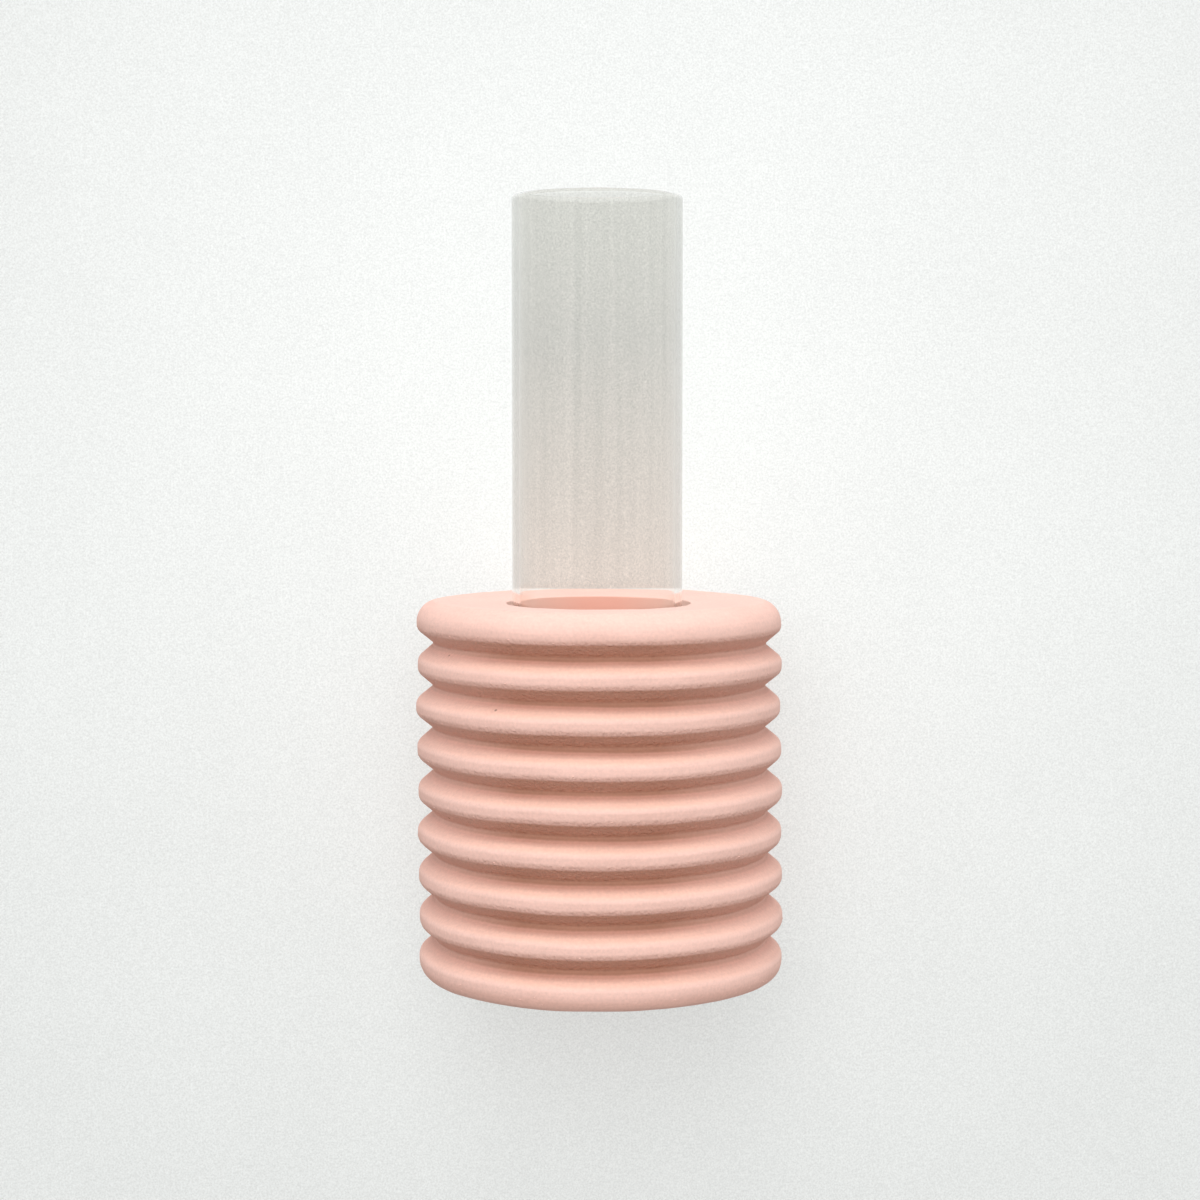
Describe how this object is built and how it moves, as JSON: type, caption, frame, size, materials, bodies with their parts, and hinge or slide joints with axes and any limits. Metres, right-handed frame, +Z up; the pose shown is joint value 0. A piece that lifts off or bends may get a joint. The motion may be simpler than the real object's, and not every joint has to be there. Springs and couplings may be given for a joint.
{
  "type": "wall vase",
  "caption": "Wall vase: a ribbed matte ceramic body with a bore that holds a clear glass tube, hung by a flush keyhole plate on a screw in a wall plug.",
  "frame": {"origin": "where the axis of the wall screw meets the wall", "axes": "+Z up, along the glass tube; +Y into the wall, with the room towards -Y; +X to the right for someone facing the wall"},
  "size_m": [0.08, 0.1127, 0.1708],
  "materials": {
    "pink_ceramic": "matte, unglazed, fine grain",
    "clear_glass": "clear, fire-polished rim",
    "seat_silicone": "matte",
    "plate_steel": "brushed",
    "zinc_steel": "zinc plated",
    "insert_brass": "plain",
    "plug_nylon": "matte",
    "bumper_felt": "felt"
  },
  "bodies": {
    "wall_fixing": {"wall_plug": "plug_nylon", "wall_screw": "zinc_steel"},
    "vase": {"vase_body": "pink_ceramic", "tube_seat": "seat_silicone", "hanger_plate": "plate_steel", "hanger_screw_upper": "zinc_steel", "hanger_screw_lower": "zinc_steel", "threaded_insert_upper": "insert_brass", "threaded_insert_lower": "insert_brass", "wall_bumper_left": "bumper_felt", "wall_bumper_right": "bumper_felt"},
    "tube": {"glass_tube": "clear_glass"}
  },
  "joints": [
    {"name": "vase_unhook", "type": "slide", "parent": "wall_fixing", "child": "vase", "axis": [0, 0, 1], "range_m": [0, 0.01]},
    {"name": "tube_lift", "type": "slide", "parent": "vase", "child": "tube", "axis": [0, 0, 1], "range_m": [0, 0.07]}
  ]
}
